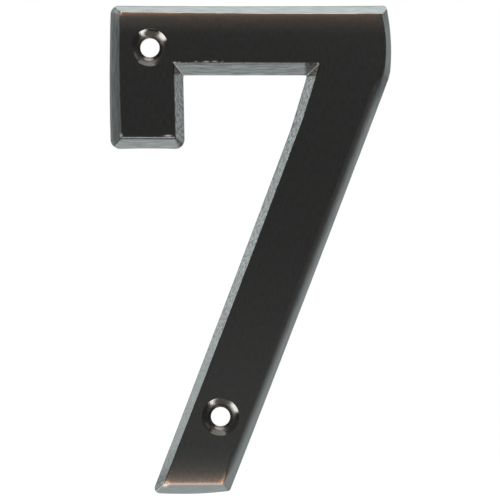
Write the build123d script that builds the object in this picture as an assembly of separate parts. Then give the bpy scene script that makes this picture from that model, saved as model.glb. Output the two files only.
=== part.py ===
from build123d import *
from collections import namedtuple
import math
import os

# House number: a solid cast figure seven with hand-ground bevels and two countersunk screw holes.
# It stands upright: +X to the reader's right, +Z up, flat back on the wall plane Y = 0, face towards -Y.
# The origin is the middle of the figure's bounding rectangle, on the back. All sizes in millimetres.

# Overall size
overall_height = 101.6
overall_width = 58.6
thickness = 6.0

# Strokes of the figure; the leans are in degrees from upright
bar_height = 14.45
hook_width = 15.35
hook_flare = 0.3
hook_height = 29.85
leg_width = 15.3
leg_lean = 21.05
leg_inner_lean = 20.85
elbow_drop = 14.6
knee_drop = 25.7
knee_lean = 17.0

# Slight bows and slopes that the grinding left along the edges
top_hollow = 0.15
right_bow = 0.6
right_face_bow = 0.45
right_flare = 0.75
leg_outer_bow = 0.13
foot_bow = 0.4
foot_rise = 0.4
leg_inner_hollow = 0.14
hook_foot_hollow = 0.15
left_bow = 0.23
left_face_bow = 0.2

# Corner radii of the outer edge, named by corner
top_left_radius = 2.1
top_right_radius = 1.3
elbow_radius = 5.3
foot_right_radius = 1.3
foot_left_radius = 1.05
knee_radius = 30.0
inner_right_radius = 0.35
inner_left_radius = 0.4
hook_right_radius = 2.0
hook_left_radius = 2.0

# Corner radii of the face, inside the bevels
face_corner_radius = 0.3
face_elbow_radius = 13.5
face_foot_left_radius = 0.8

# Bevels: one common slope away from the face in degrees, and a width in plan for each edge, at both
# ends where it tapers; the wider a bevel is, the deeper it goes
bevel_slope = 38.5
top_bevel_left = 1.2
top_bevel_right = 1.6
right_bevel_top = 0.65
right_bevel_bottom = 0.9
leg_outer_bevel = 1.4
foot_bevel_right = 0.95
foot_bevel_left = 1.75
leg_inner_bevel = 1.45
knee_bevel = 1.65
bar_under_bevel = 2.15
hook_inner_bevel = 1.77
hook_foot_bevel = 2.05
left_bevel_bottom = 2.2
left_bevel_top = 1.75

# Edge breaks: the narrow facets between the bevels and the face, wider under the bar and the hook
edge_break_depth = 0.12
edge_break = 0.15
bar_under_break = 0.5
hook_foot_break = 0.6

# Softened edges
leg_soft_radius = 3.25
leg_soft_bite = 0.01
back_edge_break = 0.25

# Screw holes
bore_diameter = 4.0
countersink_diameter = 7.8
countersink_angle = 82.0
upper_hole_from_left = 8.4
upper_hole_from_top = 8.75
lower_hole_from_bottom = 16.1
lower_hole_off_centre = 0.13

# Edges and heights above the back that follow from the sizes
left = -overall_width / 2
right = overall_width / 2
top = overall_height / 2
bottom = -overall_height / 2
bevel_top = thickness - edge_break_depth

# The bevels' planes run on by this much, measured in plan from their tops, to well past the outer edge
bevel_run = 3.2
bevel_base = bevel_top - bevel_run * math.tan(math.radians(bevel_slope))


def bow_overrun(bow, slope):
    """Gives how far an edge that bows out by bow reaches past its first corner, if its chord slopes out."""
    return (4 * bow + slope) ** 2 / (16 * bow)


def down_slope(start, drop, lean):
    """Gives the point that is drop below start, on a line that leans by lean degrees to the left."""
    return start + Vector(-drop * math.tan(math.radians(lean)), -drop)


# Corners of the outer edge, clockwise from the top left, as seen from the front
top_left = Vector(left + left_bow, top)
top_right = Vector(right - bow_overrun(right_bow, right_flare), top)
elbow = top_right + Vector(right_flare, -elbow_drop)
foot_level = bottom + bow_overrun(foot_bow, -foot_rise)
foot_right = down_slope(elbow, elbow.Y - foot_level - foot_rise, leg_lean)
leg_inner_start = elbow - Vector(leg_width / math.cos(math.radians(leg_lean)), 0)
foot_left = down_slope(leg_inner_start, elbow.Y - foot_level, leg_inner_lean)
knee = down_slope(leg_inner_start, knee_drop - elbow_drop, leg_inner_lean)
inner_right = down_slope(knee, bar_height - knee_drop, knee_lean)
inner_left = Vector(left + hook_width, top - bar_height)
hook_right = Vector(left + hook_width + hook_flare, top - hook_height)
hook_left = Vector(left + left_bow, top - hook_height)

# Each corner has its two radii, and each edge that leaves a corner has its bows (a negative bow is a
# hollow), its bevel's width at its start and its end, and its edge break
Corner = namedtuple("Corner", "point radius face_radius")
Edging = namedtuple("Edging", "bow face_bow bevel_start bevel_end edge_break")
loop = [
    (
        Corner(top_left, top_left_radius, face_corner_radius),
        Edging(-top_hollow, -top_hollow, top_bevel_left, top_bevel_right, edge_break),
    ),
    (
        Corner(top_right, top_right_radius, face_corner_radius),
        Edging(right_bow, right_face_bow, right_bevel_top, right_bevel_bottom, edge_break),
    ),
    (
        Corner(elbow, elbow_radius, face_elbow_radius),
        Edging(leg_outer_bow, leg_outer_bow, leg_outer_bevel, leg_outer_bevel, edge_break),
    ),
    (
        Corner(foot_right, foot_right_radius, face_corner_radius),
        Edging(foot_bow, 0, foot_bevel_right, foot_bevel_left, edge_break),
    ),
    (
        Corner(foot_left, foot_left_radius, face_foot_left_radius),
        Edging(-leg_inner_hollow, -leg_inner_hollow, leg_inner_bevel, leg_inner_bevel, edge_break),
    ),
    (
        Corner(knee, knee_radius, knee_radius),
        Edging(0, 0, knee_bevel, knee_bevel, edge_break),
    ),
    (
        Corner(inner_right, inner_right_radius, face_corner_radius),
        Edging(0, 0, bar_under_bevel, bar_under_bevel, bar_under_break),
    ),
    (
        Corner(inner_left, inner_left_radius, face_corner_radius),
        Edging(0, 0, hook_inner_bevel, hook_inner_bevel, edge_break),
    ),
    (
        Corner(hook_right, hook_right_radius, face_corner_radius),
        Edging(-hook_foot_hollow, 0, hook_foot_bevel, hook_foot_bevel, hook_foot_break),
    ),
    (
        Corner(hook_left, hook_left_radius, face_corner_radius),
        Edging(left_bow, left_face_bow, left_bevel_bottom, left_bevel_top, edge_break),
    ),
]
corners = [corner for corner, edging in loop]
edgings = [edging for corner, edging in loop]


def next_of(items, index):
    """Gives the item after index in a closed loop."""
    return items[(index + 1) % len(items)]


def crossing(first, second):
    """Gives the point where two lines, each given by two points, cross."""
    along = first[1] - first[0]
    across = second[1] - second[0]
    gap = second[0] - first[0]
    share = (gap.X * across.Y - gap.Y * across.X) / (along.X * across.Y - along.Y * across.X)
    return first[0] + along * share


def inset_points(share_of_break, run_out):
    """Gives the corners inside the bevels and that share of the edge breaks, all moved out by run_out."""
    lines = []
    for index, edging in enumerate(edgings):
        start = corners[index].point
        end = next_of(corners, index).point
        along = (end - start).normalized()
        inward = Vector(along.Y, -along.X)
        extra = edging.edge_break * share_of_break - run_out
        start_inset = inward * (edging.bevel_start + extra)
        end_inset = inward * (edging.bevel_end + extra)
        lines.append((start + start_inset, end + end_inset))
    return [crossing(lines[index - 1], lines[index]) for index in range(len(lines))]


def figure(points, bows, radii):
    """Makes the flat figure through points, with bowed edges and rounded corners."""
    edges = []
    for index, start in enumerate(points):
        end = next_of(points, index)
        if bows[index]:
            edges.append(SagittaArc(start, end, bows[index]))
        else:
            edges.append(Line(start, end))
    flat = make_face(edges)
    for point, radius in zip(points, radii):
        flat = fillet(flat.vertices().sort_by_distance(point)[0], radius)
    return flat


def outer_figure():
    """The figure at its outer edge, where the bevels meet the upright walls."""
    points = [corner.point for corner in corners]
    bows = [edging.bow for edging in edgings]
    radii = [corner.radius for corner in corners]
    return figure(points, bows, radii)


def bevel_figure(share_of_break, run_out):
    """The figure at the top of the bevels, inside a share of the edge breaks or moved out by run_out."""
    bows = [edging.face_bow for edging in edgings]
    radii = [corner.face_radius for corner in corners]
    return figure(inset_points(share_of_break, run_out), bows, radii)


def leg_edge_cutter():
    """The sliver whose removal leaves a round between the face and the leg's outer bevel.

    It follows the leg's bowed outer edge, from above the elbow to below the foot. The round bites a
    little into the face and the bevel, so that it meets each of them in one clean line.
    """
    run = (-0.16, 0.5, 1.1)
    lean = math.radians(leg_lean)
    slope = math.radians(bevel_slope)
    reach = leg_soft_radius * math.tan(slope / 2)
    bisector = Vector(math.sin(slope / 2), math.cos(slope / 2))
    sharp_edge = Vector(-leg_outer_bevel - edge_break_depth / math.tan(slope), thickness)
    sharp_edge -= bisector * leg_soft_bite
    on_face = sharp_edge - Vector(reach, 0)
    on_bevel = sharp_edge + Vector(math.cos(slope), -math.sin(slope)) * reach
    centre = on_face - Vector(0, leg_soft_radius)
    crown = centre + bisector * leg_soft_radius
    off_bevel = on_bevel + Vector(math.sin(slope), math.cos(slope)) * thickness
    off_face = on_face + Vector(0, thickness)
    rounding = ThreePointArc(on_face, crown, on_bevel)
    section = make_face([rounding, Polyline(on_bevel, off_bevel, off_face, on_face)])
    down_leg = foot_right - elbow
    outward = Vector(math.cos(lean), -math.sin(lean))
    places = [elbow + down_leg * share + outward * (4 * leg_outer_bow * share * (1 - share)) for share in run]
    path = ThreePointArc(*[Vector(place.X, 0, place.Y) for place in places])
    across = Plane(origin=path @ 0, x_dir=(outward.X, 0, outward.Y), z_dir=path % 0)
    return sweep(across * section, path=path)


def screw_hole(x, z):
    """A bore right through the figure at x, z, countersunk from the face."""
    mouth = Plane(origin=(x, -thickness, z), x_dir=(1, 0, 0), z_dir=(0, -1, 0))
    return mouth * CounterSinkHole(bore_diameter / 2, countersink_diameter / 2, thickness, countersink_angle)


def hole_centres():
    """The two screw holes' places: one in the bar's left end and one near the middle of the leg's foot."""
    lower_z = bottom + lower_hole_from_bottom
    leg_outer_x = down_slope(elbow, elbow.Y - lower_z, leg_lean).X
    leg_inner_x = down_slope(leg_inner_start, elbow.Y - lower_z, leg_inner_lean).X
    lower_x = (leg_outer_x + leg_inner_x) / 2 + lower_hole_off_centre
    return [(left + upper_hole_from_left, top - upper_hole_from_top), (lower_x, lower_z)]


def bevelled_block():
    """A block with the face, edge breaks, bevels and softened leg edge, but larger than the outer figure."""
    base = bevel_figure(0, bevel_run)
    sections = [
        Plane.XZ.offset(bevel_base) * base,
        Plane.XZ.offset(bevel_top) * bevel_figure(0, 0),
        Plane.XZ.offset(thickness) * bevel_figure(1, 0),
    ]
    block = extrude(Plane.XZ * base, amount=bevel_base, dir=(0, -1, 0))
    return block + loft(sections, ruled=True) - leg_edge_cutter()


def house_number():
    """The whole casting: the bevelled block inside upright walls, its back edge broken, and its holes."""
    walls = extrude(Plane.XZ * outer_figure(), amount=thickness, dir=(0, -1, 0))
    casting = walls & bevelled_block()
    casting = chamfer(casting.faces().sort_by(Axis.Y)[-1].edges(), back_edge_break)
    for x, z in hole_centres():
        casting -= screw_hole(x, z)
    return casting


os.makedirs("parts", exist_ok=True)
export_step(house_number(), "parts/house_number.step")
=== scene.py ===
"""Dresses the cast house number seven and sets it in a plain studio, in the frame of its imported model."""
import logging
import math
from dataclasses import dataclass, field
from enum import Enum

import bpy
import numpy as np
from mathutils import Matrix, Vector
from mathutils.geometry import delaunay_2d_cdt


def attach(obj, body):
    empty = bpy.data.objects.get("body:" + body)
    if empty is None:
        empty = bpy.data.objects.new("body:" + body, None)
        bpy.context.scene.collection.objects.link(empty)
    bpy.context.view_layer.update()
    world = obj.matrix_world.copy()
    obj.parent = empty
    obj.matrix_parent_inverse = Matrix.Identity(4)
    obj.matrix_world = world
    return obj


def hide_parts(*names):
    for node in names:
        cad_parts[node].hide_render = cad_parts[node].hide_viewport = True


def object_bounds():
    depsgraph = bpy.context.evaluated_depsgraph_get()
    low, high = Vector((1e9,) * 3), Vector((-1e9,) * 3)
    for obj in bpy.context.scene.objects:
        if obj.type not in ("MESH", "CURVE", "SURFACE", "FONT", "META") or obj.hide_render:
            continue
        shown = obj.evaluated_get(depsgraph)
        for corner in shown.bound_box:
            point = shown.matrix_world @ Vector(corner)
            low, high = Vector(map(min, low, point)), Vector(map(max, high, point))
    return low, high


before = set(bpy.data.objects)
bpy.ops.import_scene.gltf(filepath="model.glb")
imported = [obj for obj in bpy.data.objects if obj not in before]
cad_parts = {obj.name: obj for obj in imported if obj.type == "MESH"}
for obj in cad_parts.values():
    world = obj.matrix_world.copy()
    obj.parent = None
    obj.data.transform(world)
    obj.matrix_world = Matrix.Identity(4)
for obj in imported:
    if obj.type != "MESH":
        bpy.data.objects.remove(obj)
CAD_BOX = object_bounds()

MM = 0.001
MEAN_GRAIN = 0.5
TRIANGLES_INSIDE = 1
RUB = "rub"
FILED = "filed"
HATCHED = "hatched"
# Mask of the painted highlights and painted reflections, which lighten towards a pale colour.
HIGHLIGHT = "polished"
# Mask of painted shade in the bevels' inner corners; on the seats the same attribute makes the part by the
# bore duller.
CORNER_SHADE_AND_DULL_BORE = "unfiled"
SURFACE = "surface"
TONE = "tone"
MASKS = (RUB, FILED, HATCHED, HIGHLIGHT, CORNER_SHADE_AND_DULL_BORE)

Colour = tuple[float, float, float]
Scale = tuple[float, float, float]
Ramp = tuple[tuple[float, float], ...]
Feed = float | tuple | bpy.types.NodeSocket
WHITE: Colour = (1.0, 1.0, 1.0)
log = logging.getLogger("house_number")


class Edge(Enum):
    """The edges of the figure, clockwise from its top left corner as seen from the front."""

    TOP = 0
    RIGHT = 1
    LEG_OUTER = 2
    FOOT = 3
    LEG_INNER = 4
    KNEE = 5
    BAR_UNDER = 6
    HOOK_INNER = 7
    HOOK_FOOT = 8
    LEFT = 9


class Region(Enum):
    """The parts of the casting's surface that have a finish of their own."""

    FACE = 0
    BEVEL = 1
    SEAT = 2
    BACK = 3


@dataclass(frozen=True)
class EdgeShape:
    """One edge of the figure and the corner it starts from, in millimetres.

    Attributes:
        corner_radius: Radius of the outer corner that the edge starts from.
        face_radius: Radius of the same corner on the face.
        bow: How far the middle of the outer edge stands out; a hollow is negative.
        face_bow: The same for the edge of the face.
        bevel_start: Width of the bevel in plan where the edge starts.
        bevel_end: Width of the bevel in plan where the edge ends.
        slope: Slope of the bevel away from the face, in degrees.
        face_soft: How far the round between the bevel and the face reaches into the face.
        bevel_soft: How far it reaches down the bevel.
        soft_ease: Lengths over which the round grows from a crisp edge, at the edge's start and end.
        belly: How far the middle of the bevel stands out of its plane.
        start_flat: Share by which the bevel is shallower where the edge starts.
        shoulder: Tangent length of the round between the bevel and the wall.
        wear_and_sheen: Strength of the painted highlight on that round.
        filed: Strength of the long file marks on the bevel.
        hatched: Strength of the short cross marks on the bevel.
    """

    corner_radius: float
    face_radius: float
    bow: float
    face_bow: float
    bevel_start: float
    bevel_end: float
    slope: float = 38.5
    face_soft: float = 0.12
    bevel_soft: float = 0.12
    soft_ease: tuple[float, float] = (0.0, 0.0)
    belly: float = 0.0
    start_flat: float = 0.0
    shoulder: float = 0.16
    wear_and_sheen: float = 0.0
    filed: float = 0.3
    hatched: float = 0.0


@dataclass(frozen=True)
class RubAndGlintSpot:
    """A place at the face's edge that is rubbed to copper, or a painted highlight where a lamp glints. In
    millimetres.

    Attributes:
        x: Its middle, across the figure.
        z: Its middle, up the figure.
        reach_x: Its reach across.
        reach_z: Its reach up and down.
        strength: Its strength in the middle.
    """

    x: float
    z: float
    reach_x: float
    reach_z: float
    strength: float

    def mask(self, plan: np.ndarray) -> np.ndarray:
        """Gives the spot's strength at points in plan: a bell curve over the distance from its middle.

        Args:
            plan: Points, with x and z along the last axis.

        Returns:
            The strength at each point.
        """
        off = ((plan[..., 0] - self.x) / self.reach_x) ** 2 + ((plan[..., 1] - self.z) / self.reach_z) ** 2
        return self.strength * np.exp(-off)


@dataclass(frozen=True)
class PaintedSeatPatch:
    """A patch painted on a seat: a painted reflection where it brightens, painted shade where it takes the
    cut colour away. In degrees and millimetres.

    Attributes:
        turn: Its middle round the hole, anticlockwise from the right.
        half_turn: Half of its length round the hole.
        radius: Distance of its middle from the hole's axis.
        half_width: Half of its width across the seat.
        strength: Its strength in the middle.
    """

    turn: float
    half_turn: float
    radius: float
    half_width: float
    strength: float

    def mask(self, radius: np.ndarray, angle: np.ndarray) -> np.ndarray:
        """Gives the patch's strength: flat within its half widths and falling off steeply outside them.

        Args:
            radius: Distance of each point from the hole's axis.
            angle: Angle of each point round it, in radians.

        Returns:
            The strength at each point.
        """
        off = (np.degrees(angle) - self.turn + 180.0) % 360.0 - 180.0
        spread = (off / self.half_turn) ** 4 + ((radius - self.radius) / self.half_width) ** 4
        return self.strength * np.exp(-spread)


@dataclass
class SurfacePart:
    """A piece of the casting's surface: faces, and what each of them carries.

    Attributes:
        faces: Point numbers of each face, one row per face.
        surface: Surface coordinates of each face corner, in metres.
        region: The finish that the faces take.
    """

    faces: np.ndarray
    surface: np.ndarray
    region: Region


def smooth(share: np.ndarray) -> np.ndarray:
    """Eases a share from 0 to 1: three times its square less twice its cube."""
    return share * share * (3.0 - 2.0 * share)


def limited(value: np.ndarray) -> np.ndarray:
    """Limits a value to the range from 0 to 1."""
    return np.clip(value, 0.0, 1.0)


def bell(off: np.ndarray) -> np.ndarray:
    """Gives a bell curve: 1 in the middle, and about a third one width off."""
    return np.exp(-(off**2))


def ramp(points: Ramp, place: np.ndarray) -> np.ndarray:
    """Reads a ramp of straight pieces, given as places and the values there, at other places."""
    return np.interp(place, *np.array(points).T)


def grid_quads(row_count: int, column_count: int) -> np.ndarray:
    """Joins the points of a grid whose rows close on themselves into quads.

    Args:
        row_count: Number of rows.
        column_count: Points in each row.

    Returns:
        The point numbers of each quad: rows of quads by columns by four.
    """
    row, column = np.meshgrid(np.arange(row_count - 1), np.arange(column_count), indexing="ij")
    after = (column + 1) % column_count
    corners = [(row, column), (row, after), (row + 1, after), (row + 1, column)]
    return np.stack([r * column_count + c for r, c in corners], axis=-1)


def placed(name: str, data: bpy.types.ID) -> bpy.types.Object:
    """Makes an object and links it to the scene.

    Args:
        name: Name of the object.
        data: Its mesh, lamp or camera.

    Returns:
        The new object.
    """
    holder = bpy.data.objects.new(name, data)
    bpy.context.scene.collection.objects.link(holder)
    return holder


def empty_material(name: str) -> bpy.types.Material:
    """Makes a material with an empty node tree.

    Args:
        name: Name of the material.

    Returns:
        The new material.
    """
    material = bpy.data.materials.new(name)
    material.use_nodes = True
    material.node_tree.nodes.clear()
    return material


def turned(vectors: np.ndarray, angles: np.ndarray) -> np.ndarray:
    """Turns flat vectors anticlockwise.

    Args:
        vectors: One flat vector per row.
        angles: Angle for each row, in radians.

    Returns:
        The turned vectors.
    """
    cos, sin = np.cos(angles), np.sin(angles)
    x, z = vectors[:, 0], vectors[:, 1]
    return np.stack([cos * x - sin * z, sin * x + cos * z], axis=1)


def curve_between(start: np.ndarray, middle: np.ndarray, end: np.ndarray, count: int) -> np.ndarray:
    """Carries a rounded corner along a path: the parabola that touches both legs of the corner.

    Args:
        start: Points where the round starts.
        middle: Points of the sharp corner.
        end: Points where the round ends.
        count: Number of rows.

    Returns:
        Rows of points from start to end.
    """
    share = np.linspace(0.0, 1.0, count)[:, None, None]
    return (1 - share) ** 2 * start + 2 * share * (1 - share) * middle + share**2 * end


def line_between(start: np.ndarray, end: np.ndarray, count: int) -> np.ndarray:
    """Gives rows of points strictly between two rows, evenly spaced."""
    share = (np.arange(1, count + 1) / (count + 1))[:, None, None]
    return start + (end - start) * share


def inside(rim: np.ndarray, points: np.ndarray) -> np.ndarray:
    """Tells which points lie inside a rim: a line to a point's right crosses the rim an odd number of times.

    Args:
        rim: Plan points of the closed rim.
        points: Plan points to test.

    Returns:
        True for each point inside.
    """
    after = np.roll(rim, -1, axis=0)
    x, z = points[:, 0, None], points[:, 1, None]
    spans = (rim[:, 1] > z) != (after[:, 1] > z)
    rise = np.where(spans, after[:, 1] - rim[:, 1], 1.0)
    crossing = rim[:, 0] + (z - rim[:, 1]) / rise * (after[:, 0] - rim[:, 0])
    return (spans & (x < crossing)).sum(axis=1) % 2 == 1


@dataclass
class Outline:
    """The figure's outline: corners, edges, and how the points along it are shared out. In millimetres.

    Attributes:
        overall_height: Height of the whole figure.
        overall_width: Width of the whole figure.
        bar_height: Height of the bar along the top.
        hook_width: Width of the hook at the bar.
        hook_flare: How much wider the hook is at its foot.
        hook_height: Height from the top down to the hook's foot.
        leg_width: Width of the leg, square to its outer edge.
        leg_lean: Lean of the leg's outer edge, in degrees.
        leg_inner_lean: Lean of the leg's inner edge.
        elbow_drop: Height from the top down to the elbow on the right.
        knee_drop: Height from the top down to the knee, where the inner edge bends.
        knee_lean: Lean of the short edge above the knee.
        right_flare: How far the elbow stands out past the top's right corner.
        foot_rise: How much higher the foot is at its right end.
        spacing: Distance between neighbouring points along an edge.
        arc_points: Points round each corner.
        elbow_points: Points round the elbow and the knee.
        sharp_turn: Sine of the turn above which a corner counts as sharp.
        crisp: Reach of the round at the end of an edge where it is at its smallest.
        flat_reach: Length over which a bevel that starts shallower gains its slope.
        edges: Shape of each edge.
    """

    overall_height: float = 101.6
    overall_width: float = 58.6
    bar_height: float = 14.45
    hook_width: float = 15.35
    hook_flare: float = 0.3
    hook_height: float = 29.85
    leg_width: float = 15.3
    leg_lean: float = 21.05
    leg_inner_lean: float = 20.85
    elbow_drop: float = 14.6
    knee_drop: float = 25.7
    knee_lean: float = 17.0
    right_flare: float = 0.75
    foot_rise: float = 0.4
    spacing: float = 0.28
    arc_points: int = 17
    elbow_points: int = 30
    sharp_turn: float = 0.6
    crisp: float = 0.2
    flat_reach: float = 8.0
    edges: dict[Edge, EdgeShape] = field(default_factory=lambda: {
        Edge.TOP: EdgeShape(
            1.8, 0.5, -0.15, -0.15, 1.2, 1.6, face_soft=0.06, bevel_soft=0.06, filed=0.4),
        Edge.RIGHT: EdgeShape(
            0.8, 0.3, 0.6, 0.65, 0.85, 1.0, slope=36.0, face_soft=0.02, bevel_soft=0.06, filed=0.3),
        Edge.LEG_OUTER: EdgeShape(
            5.3, 4.6, 0.13, 0.36, 1.25, 1.65, face_soft=1.1, bevel_soft=1.1, soft_ease=(3.5, 5.0),
            # bright: Colour of the painted highlights and painted reflections.
            start_flat=0.4, filed=0.5),
        Edge.FOOT: EdgeShape(0.7, 0.3, 0.4, 0.0, 1.4, 1.75, slope=36.5, filed=0.8),
        # dullness: How much rougher it is where the highlights are painted.
        Edge.LEG_INNER: EdgeShape(
            1.05, 0.12, -0.14, -0.14, 1.45, 1.45, filed=0.5, hatched=1.7),
        Edge.KNEE: EdgeShape(30.0, 30.0, 0.0, 0.0, 1.65, 1.65, filed=0.3, hatched=2.0),
        Edge.BAR_UNDER: EdgeShape(
            0.35, 0.3, 0.0, 0.0, 2.15, 2.15, slope=33.5, face_soft=0.5, bevel_soft=0.23,
            filed=1.0, hatched=0.2),
        Edge.HOOK_INNER: EdgeShape(0.4, 0.3, 0.0, 0.0, 1.68, 1.68, filed=0.4, hatched=2.0),
        Edge.HOOK_FOOT: EdgeShape(
            2.0, 0.3, -0.15, 0.0, 2.02, 2.02, face_soft=0.6, bevel_soft=0.3, filed=0.6),
        Edge.LEFT: EdgeShape(
            2.0, 0.3, 0.23, 0.2, 2.2, 1.75, face_soft=0.15, bevel_soft=0.2, belly=0.08,
            start_flat=0.1, shoulder=0.5, wear_and_sheen=0.12, filed=0.8),
    })

    def __post_init__(self) -> None:
        """Works out the corners and shares out the points along the loop."""
        self.shapes = [self.edges[edge] for edge in Edge]
        self.corners = self._corners()
        ahead = np.roll(self.corners, -1, axis=0) - self.corners
        self.length = np.linalg.norm(ahead, axis=1)
        self.along = ahead / self.length[:, None]
        self.inward = np.stack([self.along[:, 1], -self.along[:, 0]], axis=1)
        edge_points = np.ceil(self.length / self.spacing).astype(int)
        arc_points = np.full(len(self.corners), self.arc_points)
        arc_points[[Edge.LEG_OUTER.value, Edge.KNEE.value]] = self.elbow_points
        counts = np.stack([arc_points, edge_points], axis=1).ravel()
        starts = np.repeat(np.cumsum(counts) - counts, counts)
        step = np.arange(counts.sum()) - starts
        size = np.repeat(counts, counts)
        stretch = np.repeat(np.arange(len(counts)), counts)
        self.owner = stretch // 2
        self.on_arc = stretch % 2 == 0
        self.share = np.where(self.on_arc, step / (size - 1.0), (step + 1.0) / (size + 1.0))
        self.past_middle = self.share - 0.5
        self.ridges: list[int] = []

    def values(self, name: str) -> np.ndarray:
        """Gives one field of every edge, in the order of the edges."""
        return np.array([getattr(shape, name) for shape in self.shapes])

    def _corners(self) -> np.ndarray:
        """Works out the sharp corners of the outer edge from the strokes' sizes.

        Returns:
            The corners clockwise from the top left, as x and z.
        """
        left, top = -self.overall_width / 2, self.overall_height / 2
        left_bow = self.edges[Edge.LEFT].bow
        right_bow, foot_bow = self.edges[Edge.RIGHT].bow, self.edges[Edge.FOOT].bow
        right_reach = (4 * right_bow + self.right_flare) ** 2 / (16 * right_bow)
        foot_reach = (4 * foot_bow - self.foot_rise) ** 2 / (16 * foot_bow)
        foot_level = foot_reach - top
        top_right = np.array([-left - right_reach, top])
        elbow = top_right + [self.right_flare, -self.elbow_drop]
        leg_drop = elbow[1] - foot_level

        def down(start: np.ndarray, drop: float, lean: float) -> np.ndarray:
            """Gives the point that is drop below start on a line leaning to the left by lean degrees."""
            return start + [-drop * math.tan(math.radians(lean)), -drop]

        inner_start = elbow - [self.leg_width / math.cos(math.radians(self.leg_lean)), 0]
        knee = down(inner_start, self.knee_drop - self.elbow_drop, self.leg_inner_lean)
        return np.array([
            [left + left_bow, top],
            top_right,
            elbow,
            down(elbow, leg_drop - self.foot_rise, self.leg_lean),
            down(inner_start, leg_drop, self.leg_inner_lean),
            knee,
            down(knee, self.bar_height - self.knee_drop, self.knee_lean),
            [left + self.hook_width, top - self.bar_height],
            [left + self.hook_width + self.hook_flare, top - self.hook_height],
            [left + left_bow, top - self.hook_height],
        ])

    def inset(self, start: np.ndarray, end: np.ndarray) -> np.ndarray:
        """Moves every edge inwards and crosses each moved line with the one before it.

        Args:
            start: Inset of each edge where it starts.
            end: Inset of each edge where it ends.

        Returns:
            The corners of the inset figure.
        """
        after = np.roll(self.corners, -1, axis=0)
        first = self.corners + self.inward * start[:, None]
        line = after + self.inward * end[:, None] - first
        before, line_before = np.roll(first, 1, axis=0), np.roll(line, 1, axis=0)
        gap = first - before
        slant = line_before[:, 0] * line[:, 1] - line_before[:, 1] * line[:, 0]
        share = (gap[:, 0] * line[:, 1] - gap[:, 1] * line[:, 0]) / slant
        return before + line_before * share[:, None]

    def loop(self, corners: np.ndarray, radii: np.ndarray, bows: np.ndarray) -> np.ndarray:
        """Runs round a figure with rounded corners and bowed edges.

        A corner is an arc that touches both its edges. A bow moves a point outwards by four times the
        bow times t times one less t, with t the point's share of the way along the edge.

        Args:
            corners: Sharp corners of the figure.
            radii: Radius of each corner.
            bows: Bow of the edge that leaves each corner.

        Returns:
            One point, as x and z, for each share of the loop.
        """
        ahead = np.roll(corners, -1, axis=0) - corners
        length = np.linalg.norm(ahead, axis=1)
        along = ahead / length[:, None]
        before = np.roll(along, 1, axis=0)
        turn = np.arctan2(
            before[:, 0] * along[:, 1] - before[:, 1] * along[:, 0], (before * along).sum(axis=1))
        reach = radii * np.tan(np.abs(turn) / 2)
        arc_start = corners - before * reach[:, None]
        side = np.where(turn < 0, 1.0, -1.0) * radii
        centre = arc_start + np.stack([before[:, 1], -before[:, 0]], axis=1) * side[:, None]
        own = self.owner
        share = self.share[:, None]
        on_arc = centre[own] + turned((arc_start - centre)[own], turn[own] * self.share)
        edge_start = corners + along * reach[:, None]
        edge_end = np.roll(corners - before * reach[:, None], -1, axis=0)
        on_edge = edge_start[own] + (edge_end - edge_start)[own] * share
        points = np.where(self.on_arc[:, None], on_arc, on_edge)

        def bowed(edge: np.ndarray) -> np.ndarray:
            """Moves each point outwards by an edge's bow.

            Args:
                edge: Number of the edge for each point.

            Returns:
                The move of each point.
            """
            t = limited(((points - corners[edge]) * along[edge]).sum(axis=1) / length[edge])
            outward = np.stack([-along[edge][:, 1], along[edge][:, 0]], axis=1)
            return outward * (4 * bows[edge] * t * (1 - t))[:, None]

        return points + bowed(own) + np.where(self.on_arc[:, None], bowed(own - 1), 0.0)

    def fall(self, outer: np.ndarray, brow: np.ndarray, brow_corners: np.ndarray,
             steepness: np.ndarray) -> np.ndarray:
        """Gives how far the bevel has fallen where it reaches the outer edge.

        Along an edge that is the bevel's width times its steepness, less where the edge starts if its
        bevel starts shallower. Round a sharp outer corner the bevels of both edges are cut, so the
        deeper one counts; round a sharp inner corner the shallower one does. The point where they are
        level is kept as the ridge or valley between the bevels. Round a blunt corner the one passes
        into the other.

        Args:
            outer: Points of the outer edge.
            brow: Points of the face's edge.
            brow_corners: Sharp corners of the face's edge.
            steepness: Tangent of each edge's slope.

        Returns:
            The fall at each point of the loop.
        """
        along, inward = self.along, self.inward
        own, before = self.owner, self.owner - 1
        turn = along[before, 0] * along[own, 1] - along[before, 1] * along[own, 0]
        sharp = self.on_arc & (np.abs(turn) > self.sharp_turn)
        way = np.where(sharp[:, None], brow_corners[own], brow) - outer
        own_fall = (way * inward[own]).sum(axis=1) * steepness[own]
        before_fall = (way * inward[before]).sum(axis=1) * steepness[before]
        uneven = np.where(sharp, np.abs(own_fall - before_fall), np.inf)
        self.ridges = [
            int(np.argmin(np.where(own == corner, uneven, np.inf))) for corner in np.unique(own[sharp])]
        cut = np.where(turn < 0, np.maximum(own_fall, before_fall), np.minimum(own_fall, before_fall))
        passed = before_fall + (own_fall - before_fall) * smooth(self.share)
        fall = np.where(sharp, cut, np.where(self.on_arc, passed, own_fall))
        gained = smooth(limited(self.share * self.length[own] / self.flat_reach))
        flat = np.where(self.on_arc, smooth(self.share), 1.0 - gained) * self.values("start_flat")[own]
        return fall * (1.0 - flat)

    def spread(self, values: np.ndarray) -> np.ndarray:
        """Gives each point of the loop its edge's value, eased from edge to edge round the corners.

        Args:
            values: The value of each edge.

        Returns:
            The value at each point of the loop.
        """
        before = np.roll(values, 1)[self.owner]
        eased = before + (values[self.owner] - before) * smooth(self.share)
        return np.where(self.on_arc, eased, values[self.owner])

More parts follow.
